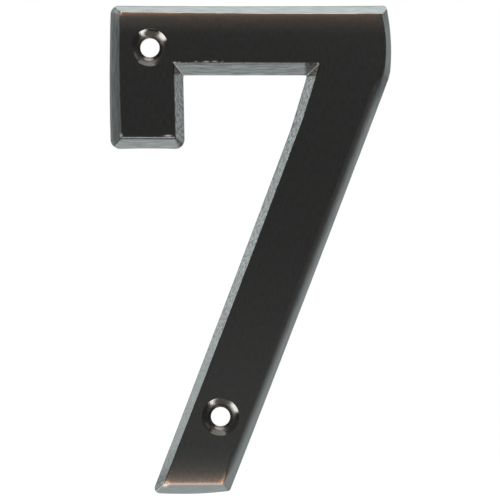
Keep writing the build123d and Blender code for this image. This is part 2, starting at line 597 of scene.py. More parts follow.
    def softness(self, name: str) -> np.ndarray:
        """Gives each point the reach of its edge's round, which grows from a crisp end on some edges.

        Args:
            name: Field of the edges that holds the reach.

        Returns:
            The reach at each point of the loop.
        """
        full, ease = self.values(name), self.values("soft_ease")
        ends = np.where(ease[:, 0] > 0.0, self.crisp, full)
        from_ends = np.stack([self.share, 1.0 - self.share], axis=1) * self.length[self.owner][:, None]
        grown = smooth(limited(from_ends / np.maximum(ease, self.spacing)[self.owner])).min(axis=1)
        along = ends[self.owner] + (full - ends)[self.owner] * grown
        return np.where(self.on_arc, self.spread(ends), along)


@dataclass
class Casting:
    """The solid numeral: face, ground bevels, walls, back and two countersunk screw holes. In millimetres.

    Attributes:
        outline: The figure's outline.
        thickness: From the back to the flat of the face.
        break_depth: Height of the narrow break between a bevel and the face.
        back_round: Tangent length of the round between the wall and the back.
        back_band: Width of the band of quads inside the back's rim.
        face_band: Width of the band of quads inside the face's rim.
        top_flat_to: Height up the figure where the face starts to roll off to the top.
        top_strip: Height of the strip that rolls off.
        top_roll: Slope of the face at the top's edge.
        foot_flat_to: Height where the face starts to roll off to the foot.
        foot_strip: Height of that strip.
        foot_roll: Slope of the face at the foot's edge.
        band_rows: Rows of points across the face's band.
        brow_rows: Rows round the brow, between the face and a bevel.
        bevel_rows: Rows down a bevel.
        shoulder_rows: Rows round the shoulder, between a bevel and the wall.
        wall_rows: Rows down the wall.
        back_rows: Rows round the edge of the back.
        wobble: Unevenness that the grinding left along the edges.
        wobble_lengths: Lengths of its waves.
        wave_phase: Phase from each of these waves to the next.
        outer_phase: Phase that sets the outer edge's waves apart from the brow's.
        outer_wobble: Share of the unevenness that the outer edge has.
        bore_radius: Radius of a bore.
        seat_radius: Radius of a seat at the face.
        seat_angle: Angle of a seat's cone, in degrees.
        seat_points: Points round a hole.
        seat_rows: Rows down a seat.
        bore_rows: Rows down a bore.
        hole_border: Width of the narrow ring of quads round a hole, on the face and on the back.
        ring_pitch: Distance from one turned ring to the next.
        ring_depth: Height of the turned rings.
        seat_cut: How bright the seat is cut, over the distance from the hole's axis.
        seat_reflections: Painted reflections of the lamps on the seat, brighter and duller.
        seat_shade: Painted shade at the top of the seat, where less of the cut colour shows.
        dull_to: Distance from the hole's axis within which the seat is duller.
        bore_dullness: How dull it is at the bore.
        upper_hole_from_left: From the figure's left to the upper hole's middle.
        upper_hole_from_top: From the figure's top down to it.
        lower_hole_from_bottom: From the figure's foot up to the lower hole's middle.
        lower_hole_off_centre: How far that hole is to the right of the leg's middle.
        face_lattice: Spacing of the points inside the flats.
        lattice_skip: Step through a rim's points when a flat's points are kept clear of it.
        weld: Distance under which the fill takes two points for one.
        least_area: Twice the area under which a triangle of a fill is dropped as empty.
        valley_width: Width of the painted highlight line in an inner corner, as a share of the corner.
        corner_shine: Its strength under the bar's right end, at the hook and at the leg's foot.
        shine_fade: That strength over the distance from the brow, which is positive on the face.
        foot_shine: Strength of the painted highlight line along the foot, over the same distance.
        mitre_width: Width of the streak of painted shade at the hook's foot, as a share of the corner.
        rub_past: How far the copper reaches past the face.
        rub_shy: How far it keeps off the right edge.
        shade_onto_face: How far the painted corner shade reaches onto the face.
        knee_shade_from: Height above which the edge above the knee has painted shade.
        bar_shade_from: Place along the bar past which its under side has painted shade.
        hook_shade_from: Height above which the hook's inner edge has painted shade.
        shade_fade: Width over which the painted shade fades in.
        smooth_leg_from: Height where the leg's bevels begin to be smoother.
        smooth_leg_to: Height below which they are at their smoothest.
        leg_calm: Share of the marks that is gone there.
        top_rub: Strength of the copper over the distance below the face's top edge.
        foot_rub: The same over the distance above the face's foot edge.
        spots: Places that are rubbed to copper.
        glints: Painted highlights, where lamps glint on edges and corners.
    """

    outline: Outline = field(default_factory=Outline)
    thickness: float = 6.0
    break_depth: float = 0.12
    back_round: float = 0.25
    back_band: float = 0.8
    face_band: float = 0.5
    top_flat_to: float = 44.7
    top_strip: float = 4.6
    top_roll: float = 0.05
    foot_flat_to: float = -41.0
    foot_strip: float = 8.0
    foot_roll: float = 0.075
    band_rows: int = 4
    brow_rows: int = 9
    bevel_rows: int = 9
    shoulder_rows: int = 5
    wall_rows: int = 4
    back_rows: int = 5
    wobble: float = 0.03
    wobble_lengths: tuple[float, ...] = (31.0, 17.3, 9.1, 4.7)
    wave_phase: float = 2.4
    outer_phase: float = 1.7
    outer_wobble: float = 0.5
    bore_radius: float = 2.0
    seat_radius: float = 3.9
    seat_angle: float = 82.0
    seat_points: int = 128
    seat_rows: int = 61
    bore_rows: int = 5
    hole_border: float = 0.06
    ring_pitch: float = 0.29
    ring_depth: float = 0.0012
    seat_cut: Ramp = ((2.0, 0.7), (2.9, 0.7), (3.3, 1.0), (3.9, 1.0))
    # Painted reflections of the bright lights round the camera, on both seats.
    seat_reflections: tuple[PaintedSeatPatch, ...] = (
        PaintedSeatPatch(106.0, 16.0, 2.2, 0.18, 0.6),
        PaintedSeatPatch(32.0, 14.0, 2.6, 0.2, 0.6),
        PaintedSeatPatch(264.0, 27.0, 2.35, 0.5, 1.0),
    )
    # Painted shade at the top of each seat.
    seat_shade: PaintedSeatPatch = PaintedSeatPatch(82.0, 28.0, 3.2, 1.0, 1.0)
    dull_to: float = 2.6
    bore_dullness: float = 0.5
    upper_hole_from_left: float = 8.4
    upper_hole_from_top: float = 8.75
    lower_hole_from_bottom: float = 16.1
    lower_hole_off_centre: float = 0.13
    face_lattice: float = 0.9
    lattice_skip: int = 3
    weld: float = 1e-5
    least_area: float = 1e-7
    # Painted highlight lines down the inner corners and along the foot.
    valley_width: float = 0.17
    corner_shine: tuple[float, float, float] = (1.0, 0.8, 0.3)
    shine_fade: Ramp = ((-2.2, 0.4), (-0.3, 1.0), (0.0, 1.0), (0.1, 0.0))
    foot_shine: Ramp = ((-0.18, 0.0), (-0.06, 0.25), (0.02, 0.25), (0.1, 0.0))
    mitre_width: float = 0.22
    rub_past: float = 0.15
    rub_shy: float = 0.4
    shade_onto_face: float = 0.25
    knee_shade_from: float = 35.95
    bar_shade_from: float = 11.35
    hook_shade_from: float = 36.45
    shade_fade: float = 0.12
    smooth_leg_from: float = -14.0
    smooth_leg_to: float = -24.0
    leg_calm: float = 0.7
    top_rub: Ramp = (
        (-0.06, 0.0), (0.0, 0.58), (0.25, 0.55), (0.5, 0.36), (0.75, 0.14), (1.8, 0.1), (2.7, 0.08),
        (4.5, 0.0))
    foot_rub: Ramp = (
        (-0.2, 0.0), (-0.08, 0.85), (0.0, 0.85), (0.15, 0.46), (0.5, 0.25), (1.0, 0.19), (2.2, 0.09),
        (4.0, 0.05), (6.0, 0.0))
    spots: tuple[RubAndGlintSpot, ...] = (
        RubAndGlintSpot(-26.9, 49.1, 0.5, 0.4, 0.6),
        RubAndGlintSpot(-17.4, -48.5, 0.5, 0.45, 1.6),
        RubAndGlintSpot(-6.0, -48.4, 0.3, 0.4, 0.9),
        RubAndGlintSpot(-5.7, -47.8, 0.25, 0.4, 0.8),
        RubAndGlintSpot(-5.45, -47.2, 0.22, 0.4, 0.7),
        RubAndGlintSpot(-5.2, -46.6, 0.2, 0.4, 0.5),
    )
    # Painted highlights: glints of the lamps on edges and corners.
    glints: tuple[RubAndGlintSpot, ...] = (
        RubAndGlintSpot(-26.8, 23.75, 0.25, 0.4, 0.9),
        RubAndGlintSpot(-17.1, 23.7, 0.8, 0.2, 1.0),
        RubAndGlintSpot(-15.75, 38.9, 0.3, 0.2, 0.9),
        RubAndGlintSpot(-14.8, 39.0, 0.25, 0.12, 0.7),
        RubAndGlintSpot(14.05, 38.75, 0.15, 0.15, 1.0),
        RubAndGlintSpot(-11.3, 39.1, 0.35, 0.12, 0.7),
        RubAndGlintSpot(-9.2, 39.1, 0.6, 0.12, 1.0),
        RubAndGlintSpot(-7.4, 39.15, 0.5, 0.12, 0.9),
        RubAndGlintSpot(-5.9, 39.15, 0.2, 0.12, 0.6),
        RubAndGlintSpot(-17.7, -48.75, 0.5, 0.4, 1.0),
    )

    def __post_init__(self) -> None:
        """Starts with no points and no parts."""
        self.points: list[np.ndarray] = []
        self.masks: dict[str, list[np.ndarray]] = {name: [] for name in MASKS}
        self.parts: list[SurfacePart] = []
        self.sharp: list[np.ndarray] = []
        self.top_line = np.zeros((2, 1))
        self.foot_line = np.zeros((2, 1))
        self.count = 0

    def hole_centres(self) -> list[np.ndarray]:
        """Gives the middles of the two screw holes, the lower one near the middle of the leg.

        Returns:
            The upper hole's middle and the lower one's, as x and z.
        """
        shape = self.outline
        left, top = -shape.overall_width / 2, shape.overall_height / 2
        lower_z = self.lower_hole_from_bottom - top
        elbow = shape.corners[Edge.LEG_OUTER.value]
        drop = elbow[1] - lower_z
        outer_x = elbow[0] - drop * math.tan(math.radians(shape.leg_lean))
        inner_x = elbow[0] - shape.leg_width / math.cos(math.radians(shape.leg_lean))
        inner_x -= drop * math.tan(math.radians(shape.leg_inner_lean))
        lower_x = (outer_x + inner_x) / 2 + self.lower_hole_off_centre
        upper = np.array([left + self.upper_hole_from_left, top - self.upper_hole_from_top])
        return [upper, np.array([lower_x, lower_z])]

    def add_points(self, plan: np.ndarray, height: np.ndarray, masks: dict[str, np.ndarray]) -> int:
        """Adds points to the casting and gives the number of the first one.

        Args:
            plan: Points as x and z, along the last axis.
            height: Height of each point above the back.
            masks: Values of the named masks at each point; a mask that isn't named is 0.

        Returns:
            The number of the first of these points.
        """
        flat = plan.reshape(-1, 2)
        self.points.append(np.stack([flat[:, 0], -height.ravel(), flat[:, 1]], axis=1) * MM)
        for name, values in self.masks.items():
            values.append(np.broadcast_to(masks.get(name, 0.0), height.shape).ravel())
        first = self.count
        self.count += len(flat)
        return first

    def add_grid(self, first: int, surface: np.ndarray, turn: float, region: Region, rows: slice) -> None:
        """Joins the points of a closed grid into quads: rows across the surface, columns round the loop.

        Args:
            first: Number of the grid's first point.
            surface: Surface coordinates of each point, rows by columns by two.
            turn: Value of the first surface coordinate after a whole turn.
            region: The finish that the quads take.
            rows: The rows of quads to make.
        """
        quads = grid_quads(*surface.shape[:2])[rows]
        picked = surface.reshape(-1, 2)[quads]
        picked[:, -1, 1:3, 0] += turn
        self.parts.append(SurfacePart(first + quads.reshape(-1, 4), picked.reshape(-1, 2) * MM, region))

    def add_fill(self, rings: list[tuple[int, np.ndarray]], inner: np.ndarray, height: np.ndarray,
                 region: Region, front: bool) -> None:
        """Fills a nearly flat figure between its rim and its holes with triangles.

        The triangles are as even as the rims allow; those outside the rim or in a hole are dropped.

        Args:
            rings: First point number and plan points of the rim and of each hole's rim.
            inner: Further plan points inside the figure.
            height: Height of each of those points above the back.
            region: The finish that the triangles take.
            front: Whether the flat looks to the front.
        """
        numbers = [first + np.arange(len(plan)) for first, plan in rings]
        flat = [plan for _, plan in rings]
        edges = []
        start = 0
        for plan in flat:
            index = np.arange(len(plan))
            edges += (start + np.stack([index, np.roll(index, -1)], axis=1)).tolist()
            start += len(plan)
        masks = {RUB: self.rub_mask(inner, self.face_band)} if front else {}
        numbers.append(self.add_points(inner, height, masks) + np.arange(len(inner)))
        numbers, flat = np.concatenate(numbers), np.vstack([*flat, inner])
        places = [Vector(point) for point in flat.tolist()]
        _, _, triangles, sources, _, _ = delaunay_2d_cdt(
            places, edges, [], TRIANGLES_INSIDE, self.weld, True)
        faces = np.array([ids[0] for ids in sources])[np.array(triangles)]
        a, b, c = (flat[faces[:, i]] for i in range(3))
        area = (b - a)[:, 0] * (c - a)[:, 1] - (b - a)[:, 1] * (c - a)[:, 0]
        middle = (a + b + c) / 3
        keep = inside(rings[0][1], middle) & (area > self.least_area)
        for _, ring in rings[1:]:
            keep &= ~inside(ring, middle)
        faces = faces[keep] if front else faces[keep][:, ::-1]
        self.parts.append(SurfacePart(numbers[faces], flat[faces].reshape(-1, 2) * MM, region))

    def rim(self) -> tuple[int, np.ndarray, int, np.ndarray]:
        """Carries the edge's section along the outline, from the face over bevel and wall to the back.

        The corners of the brow and of the face's band are the outline's corners moved inwards by the
        widths of the bevel and the band.

        Returns:
            First point number and plan of the loop on the face, then of the loop on the back.
        """
        shape = self.outline
        steepness = np.tan(np.radians(shape.values("slope")))
        widening = self.break_depth / steepness
        bevel_start, bevel_end = shape.values("bevel_start") + widening, shape.values("bevel_end") + widening
        face_soft, band = shape.values("face_soft"), self.face_band
        face_radius, face_bow = shape.values("face_radius"), shape.values("face_bow")
        outer = shape.loop(shape.corners, shape.values("corner_radius"), shape.values("bow"))
        brow_corners = shape.inset(bevel_start, bevel_end)
        brow = shape.loop(brow_corners, face_radius, face_bow)
        inner = shape.loop(
            shape.inset(bevel_start + face_soft + band, bevel_end + face_soft + band), face_radius, face_bow)
        self.top_line = brow[shape.owner == Edge.TOP.value].T
        self.foot_line = brow[shape.owner == Edge.FOOT.value][::-1].T
        step = np.linalg.norm(np.roll(outer, -1, axis=0) - outer, axis=1)
        along = np.cumsum(step) - step
        total = step.sum()
        tangent = np.roll(outer, -1, axis=0) - np.roll(outer, 1, axis=0)
        tangent /= np.linalg.norm(tangent, axis=1)[:, None]
        inward = np.stack([tangent[:, 1], -tangent[:, 0]], axis=1)
        brow = brow + inward * self.unevenness(along, total, 0.0)[:, None]
        waves = self.wobble + self.unevenness(along, total, self.outer_phase)
        outer = outer + inward * self.outer_wobble * waves[:, None]

        rows = self.section_rows(outer, brow, inner, shape.fall(outer, brow, brow_corners, steepness))
        bevel_first = self.band_rows + self.brow_rows // 2
        shoulder_first = self.band_rows + self.brow_rows + self.bevel_rows
        wall_first = shoulder_first + self.shoulder_rows // 2
        from_brow = np.einsum("rnk,nk->rn", rows[..., :2] - brow, inward)
        across = np.cumsum(np.linalg.norm(np.diff(rows, axis=0, prepend=rows[:1]), axis=2), axis=0)
        surface = np.stack([np.broadcast_to(along, across.shape), across], axis=2)
        masks = self.edge_masks(rows[..., :2], from_brow, shoulder_first)
        first = self.add_points(rows[..., :2], rows[..., 2], masks)
        self.add_grid(first, surface, total, Region.FACE, slice(0, bevel_first))
        self.add_grid(first, surface, total, Region.BEVEL, slice(bevel_first, wall_first))
        self.add_grid(first, surface, total, Region.BACK, slice(wall_first, None))
        starts = first + np.arange(bevel_first, wall_first + 1) * len(outer)
        self.sharp += [starts + ridge for ridge in shape.ridges]
        last = first + (len(rows) - 1) * len(outer)
        return first, inner, last, rows[-1, :, :2]

    def section_rows(self, outer: np.ndarray, brow: np.ndarray, inner: np.ndarray,
                     depth: np.ndarray) -> np.ndarray:
        """Gives the rows of the edge's section, each of them a loop.

        The section runs from the face's flat, down a slight roll off, round the break into the bevel,
        round the shoulder into the upright wall and round the last edge onto the back.

        Args:
            outer: Plan points of the outer edge.
            brow: Plan points of the face's edge.
            inner: Plan points of the loop inside the face's band.
            depth: Fall of the bevel at each point of the loop.

        Returns:
            The rows, with x, z and the height above the back along the last axis.
        """
        shape = self.outline
        soft = shape.softness("face_soft")
        strip = shape.spread(shape.values("face_soft")) + self.face_band
        to_brow = brow - outer
        width = np.linalg.norm(to_brow, axis=1)
        slant = np.hypot(width, depth)
        level = self.thickness - self.face_drop(brow)

        def solid(plan: np.ndarray, height: float | np.ndarray) -> np.ndarray:
            """Puts a height beside each plan point."""
            return np.column_stack([plan, np.broadcast_to(height, len(plan))])

        flat_edge = brow + (inner - brow) * (soft / strip)[:, None]
        on_face = solid(flat_edge, self.thickness - self.face_drop(flat_edge))
        crest = solid(brow, level)
        shoulder = solid(outer, level - depth)
        on_bevel = crest + (shoulder - crest) * (shape.softness("bevel_soft") / slant)[:, None]
        rounding = shape.spread(shape.values("shoulder"))
        bevel_foot = shoulder + (crest - shoulder) * (rounding / slant)[:, None]
        on_wall = solid(outer, level - depth - rounding)
        wall_foot = solid(outer, self.back_round)
        back_corner = solid(outer, 0.0)
        to_brow = to_brow / width[:, None]
        back_edge = solid(outer + to_brow * self.back_round, 0.0)
        back_inner = solid(outer + to_brow * (self.back_round + self.back_band), 0.0)

        band_plan = inner + (flat_edge - inner) * np.linspace(0.0, 1.0, self.band_rows + 1)[:-1, None, None]
        band_height = self.thickness - self.face_drop(band_plan)
        down_bevel = line_between(on_bevel, bevel_foot, self.bevel_rows)
        down = (np.arange(1, self.bevel_rows + 1) / (self.bevel_rows + 1))[:, None]
        down_bevel[..., 2] += 4 * down * (1 - down) * shape.spread(shape.values("belly"))
        return np.concatenate([
            np.concatenate([band_plan, band_height[..., None]], axis=2),
            curve_between(on_face, crest, on_bevel, self.brow_rows),
            down_bevel,
            curve_between(bevel_foot, shoulder, on_wall, self.shoulder_rows),
            line_between(on_wall, wall_foot, self.wall_rows),
            curve_between(wall_foot, back_corner, back_edge, self.back_rows),
            back_inner[None],
        ])

    def edge_masks(self, plan: np.ndarray, from_brow: np.ndarray,
                   shoulder_first: int) -> dict[str, np.ndarray]:
        """Gives the masks of the edge's rows. The painted highlights and the painted shade end where the wall
        starts.

        Args:
            plan: Rows of plan points.
            from_brow: Distance of each point from the edge of the face, positive on the face.
            shoulder_first: Number of the first row of the shoulder.

        Returns:
            The values of each mask.
        """
        shape = self.outline
        kept_off = np.where(shape.owner == Edge.RIGHT.value, self.rub_shy, 0.0)
        polished = self.highlight_mask(plan, from_brow)
        # Painted highlight along the shoulder round, on the left edge.
        polished[shoulder_first:] += shape.spread(shape.values("wear_and_sheen"))
        unfiled = self.corner_shade_mask(plan, from_brow)
        for painted_mask in (polished, unfiled):
            painted_mask[shoulder_first + self.shoulder_rows:] = 0.0
        return {
            RUB: self.rub_mask(plan, from_brow - kept_off),
            FILED: self.mark_mask(FILED, plan[..., 1]),
            HATCHED: self.mark_mask(HATCHED, plan[..., 1]),
            HIGHLIGHT: polished,
            CORNER_SHADE_AND_DULL_BORE: unfiled,
        }

    def face_drop(self, plan: np.ndarray) -> np.ndarray:
        """Gives how far the face has rolled off: the square of the way into its strips at top and foot.

        Args:
            plan: Plan points on the face.

        Returns:
            The drop below the flat of the face at each point.
        """
        z = plan[..., 1]
        top = np.clip(z - self.top_flat_to, 0.0, None) ** 2 * self.top_roll / self.top_strip
        foot = np.clip(self.foot_flat_to - z, 0.0, None) ** 2 * self.foot_roll / self.foot_strip
        return (top + foot) / 2

    def unevenness(self, along: np.ndarray, total: float, shift: float) -> np.ndarray:
        """Gives the slight waves that grinding left along an edge: a sum of sines that closes on itself.

        Args:
            along: Distance of each point along the loop.
            total: Length of the loop.
            shift: Phase that sets one edge's waves apart from another's.

        Returns:
            How far each point stands out.
        """
        waves = np.round(total / np.array(self.wobble_lengths))[:, None]
        phase = np.arange(len(waves))[:, None] * self.wave_phase + shift
        return self.wobble * np.sin(2 * np.pi * waves * along / total + phase).mean(axis=0)

    def rub_mask(self, plan: np.ndarray, from_brow: float | np.ndarray) -> np.ndarray:
        """Gives how far the copper shows: most at the top's and the foot's edge, fading across the face.

        Each strip's strength is a ramp over the distance from its edge of the face, and the spots are
        added to it. Both end just past the face, on the bevels.

        Args:
            plan: Plan points.
            from_brow: Distance of each point from the nearest edge of the face, positive on the face.

        Returns:
            The strength from 0 to 1 at each point.
        """
        x, z = plan[..., 0], plan[..., 1]
        below_top = np.interp(x, *self.top_line) - z
        above_foot = z - np.interp(x, *self.foot_line)
        mask = ramp(self.top_rub, below_top) + ramp(self.foot_rub, above_foot)
        mask = mask + sum(spot.mask(plan) for spot in self.spots)
        return limited(mask) * limited(1.0 + from_brow / self.rub_past)

    def highlight_mask(self, plan: np.ndarray, from_brow: np.ndarray) -> np.ndarray:
        """Gives the painted highlights: glints along some edges, a line down each inner corner and one along
        the foot.

        Args:
            plan: Rows of plan points.
            from_brow: Distance of each point from the edge of the face, positive on the face.

        Returns:
            The strength from 0 to 1 at each point.
        """
        shape = self.outline
        strength = np.zeros(len(shape.shapes))
        strength[[Edge.BAR_UNDER.value, Edge.HOOK_INNER.value, Edge.LEG_INNER.value]] = self.corner_shine
        across = bell(shape.past_middle / self.valley_width)
        line = np.where(shape.on_arc, strength[shape.owner] * across, 0.0)
        on_foot = (shape.owner == Edge.FOOT.value) & ~shape.on_arc
        foot_line = np.where(on_foot, ramp(self.foot_shine, from_brow), 0.0)
        glints = sum(spot.mask(plan) for spot in self.glints)
        return limited(glints + line * ramp(self.shine_fade, from_brow) + foot_line)

    def corner_shade_mask(self, plan: np.ndarray, from_brow: np.ndarray) -> np.ndarray:
        """Gives the painted shade: darker at the bevels' ends in the inner corners and in a streak down the
        mitre at the hook's foot.

        Args:
            plan: Rows of plan points.
            from_brow: Distance of each point from the edge of the face, positive on the face.

        Returns:
            The strength from 0 to 1 at each point.
        """
        shape = self.outline
        own, late = shape.owner, shape.past_middle > 0.0
        x, z = plan[..., 0], plan[..., 1]
        knee = (own == Edge.KNEE.value) & ~shape.on_arc
        bar = own == Edge.BAR_UNDER.value
        hook = (own == Edge.HOOK_INNER.value) & (late | ~shape.on_arc)
        in_shade = np.where(knee, (z - self.knee_shade_from) / self.shade_fade, -1.0)
        under_bar = np.where(shape.on_arc, 1.0, (x - self.bar_shade_from) / self.shade_fade)
        in_shade = np.where(bar, under_bar, in_shade)
        in_shade = np.where(hook, (z - self.hook_shade_from) / self.shade_fade, in_shade)
        mitre = (own == Edge.HOOK_FOOT.value) & shape.on_arc
        in_shade = np.where(mitre, bell(shape.past_middle / self.mitre_width), in_shade)
        return limited(in_shade) * limited((self.shade_onto_face - from_brow) / self.shade_fade)

    def mark_mask(self, name: str, height_up: np.ndarray) -> np.ndarray:
        """Gives the strength of a kind of marks: each edge's own, less on the lower leg, which is smoother.

        Args:
            name: Field of the edges that holds the strength.
            height_up: Place of each point up the figure.

        Returns:
            The strength from 0 to 1 at each point.
        """
        marks = self.outline.spread(self.outline.values(name))
        span = self.smooth_leg_to - self.smooth_leg_from
        calm = smooth(limited((height_up - self.smooth_leg_from) / span))
        return marks * (1.0 - self.leg_calm * calm)

    def screw_hole(self, centre: np.ndarray) -> tuple[int, np.ndarray, int, np.ndarray]:
        """Turns a screw hole's section about its axis: seat with fine turned rings, then the plain bore.

        Args:
            centre: Middle of the hole in plan.

        Returns:
            First point number and plan of the rim on the face, then of the rim on the back.
        """
        half = math.radians(self.seat_angle / 2)
        depth = (self.seat_radius - self.bore_radius) / math.tan(half)
        cone = np.linspace(0.0, 1.0, self.seat_rows)
        slant = cone * (self.seat_radius - self.bore_radius) / math.sin(half)
        ring = self.ring_depth * np.sin(2 * np.pi * slant / self.ring_pitch) * np.sin(np.pi * cone)
        cone_radius = self.seat_radius - (self.seat_radius - self.bore_radius) * cone + ring
        cone_height = self.thickness - depth * cone
        bore_height = np.linspace(self.thickness - depth, 0.0, self.bore_rows + 1)[1:]
        radius = np.concatenate([
            [self.seat_radius + self.hole_border], cone_radius,
            np.full(self.bore_rows, self.bore_radius), [self.bore_radius + self.hole_border]])
        height = np.concatenate([[self.thickness], cone_height, bore_height, [0.0]])
        angle = np.linspace(0.0, 2 * np.pi, self.seat_points, endpoint=False)
        around = np.stack([np.cos(angle), np.sin(angle)], axis=1)
        plan = centre + radius[:, None, None] * around
        # The first two rows, the border and the seat's rim, lie on the face.
        on_face = (np.arange(len(radius)) < 2)[:, None]
        tall = height[:, None] - np.where(on_face, self.face_drop(plan), 0.0)
        steps = np.hypot(np.diff(radius, prepend=radius[:1]), np.diff(height, prepend=height[:1]))
        turn = 2 * np.pi * self.seat_radius
        round_about = np.arange(self.seat_points) / self.seat_points * turn
        surface = np.stack(np.broadcast_arrays(round_about, np.cumsum(steps)[:, None]), axis=2)
        in_hole = ~on_face & (height > 0.0)[:, None]
        cut = ramp(self.seat_cut, radius)[:, None] * in_hole
        # Painted shade: less of the cut colour at the top of the seat.
        cut = cut * (1.0 - self.seat_shade.mask(radius[:, None], angle))
        # Painted reflections: brighter, duller patches on the seat.
        marks = sum(seat_reflection.mask(radius[:, None], angle) for seat_reflection in self.seat_reflections) * in_hole
        near_bore = limited((self.dull_to - radius) / (self.dull_to - self.bore_radius))
        dull = self.bore_dullness * near_bore[:, None] * in_hole
        first = self.add_points(plan, tall, {RUB: cut, HIGHLIGHT: limited(marks), CORNER_SHADE_AND_DULL_BORE: dull})
        bore_top, back = len(cone), len(radius) - 2
        self.add_grid(first, surface, turn, Region.FACE, slice(0, 1))
        self.add_grid(first, surface, turn, Region.SEAT, slice(1, back))
        self.add_grid(first, surface, turn, Region.BACK, slice(back, None))
        ring_points = first + np.arange(self.seat_points)
        self.sharp += [ring_points + row * self.seat_points for row in (1, bore_top, back)]
        last = first + (len(radius) - 1) * self.seat_points
        return first, plan[0], last, plan[-1]

    def lattice(self, rim: np.ndarray, holes: list[np.ndarray], keep_off: float) -> np.ndarray:
        """Gives evenly spaced points inside a rim and clear of the holes.

        Args:
            rim: Plan points of the rim.
            holes: Middle of each hole.
            keep_off: Radius to keep clear round a hole.

        Returns:
            The points, as x and z.
        """
        low, high = rim.min(axis=0), rim.max(axis=0)
        xs = np.arange(low[0], high[0], self.face_lattice)
        zs = np.arange(low[1], high[1], self.face_lattice)
        points = np.stack(np.meshgrid(xs, zs), axis=-1).reshape(-1, 2)
        nearby = rim[None, ::self.lattice_skip, :]
        gap = np.linalg.norm(points[:, None, :] - nearby, axis=2).min(axis=1)
        clear = np.all([np.linalg.norm(points - hole, axis=1) > keep_off for hole in holes], axis=0)
        return points[inside(rim, points) & clear & (gap > self.face_lattice / 2)]

    def build(self) -> bpy.types.Object:
        """Makes the closed mesh of the casting.

        Returns:
            The new object, linked to the scene.
        """
        holes = self.hole_centres()
        face_first, face_rim, back_first, back_rim = self.rim()
        rims = [self.screw_hole(hole) for hole in holes]
        face_rings = [(face_first, face_rim)] + [(rim[0], rim[1]) for rim in rims]
        back_rings = [(back_first, back_rim)] + [(rim[2], rim[3]) for rim in rims]
        near = self.seat_radius + self.face_lattice / 2
        face_inner = self.lattice(face_rim, holes, near)
        back_inner = self.lattice(back_rim, holes, near)
        self.add_fill(face_rings, face_inner, self.thickness - self.face_drop(face_inner), Region.FACE, True)
        self.add_fill(back_rings, back_inner, np.zeros(len(back_inner)), Region.BACK, False)
        mesh = bpy.data.meshes.new("numeral_seven")
        faces = [face for part in self.parts for face in part.faces.tolist()]
        mesh.from_pydata(np.vstack(self.points).tolist(), [], faces)
        layer = mesh.uv_layers.new(name=SURFACE)
        layer.data.foreach_set("uv", np.vstack([part.surface for part in self.parts]).ravel())
        regions = np.concatenate([np.full(len(part.faces), part.region.value) for part in self.parts])
        mesh.polygons.foreach_set("material_index", regions)
        mesh.polygons.foreach_set("use_smooth", np.ones(len(faces), dtype=bool))
        for name, values in self.masks.items():
            mask = mesh.attributes.new(name, "FLOAT", "POINT")
            mask.data.foreach_set("value", np.concatenate(values).astype(np.float32))
        self.sharpen(mesh)
        mesh.update()
        return placed("numeral_seven", mesh)

    def sharpen(self, mesh: bpy.types.Mesh) -> None:
        """Marks the holes' rims and the ridges between bevels as sharp, to be shaded as corners.

        Args:
            mesh: The casting's mesh.
        """
        ends = np.empty(2 * len(mesh.edges), dtype=np.int32)
        mesh.edges.foreach_get("vertices", ends)
        on_rim = np.any([np.isin(ends.reshape(-1, 2), rim).all(axis=1) for rim in self.sharp], axis=0)
        mesh.attributes.new("sharp_edge", "BOOLEAN", "EDGE").data.foreach_set("value", on_rim)

    def dress(self, piece: bpy.types.Object) -> None:
        """Gives each region of the casting its finish.

        Args:
            piece: The casting's object.
        """
        finishes = {
            Region.FACE: BrushedFace(),
            Region.BEVEL: GroundBevel(),
            Region.SEAT: TurnedSeat(),
            Region.BACK: PlainBack(),
        }
        for region in Region:
            piece.data.materials.append(finishes[region].material())


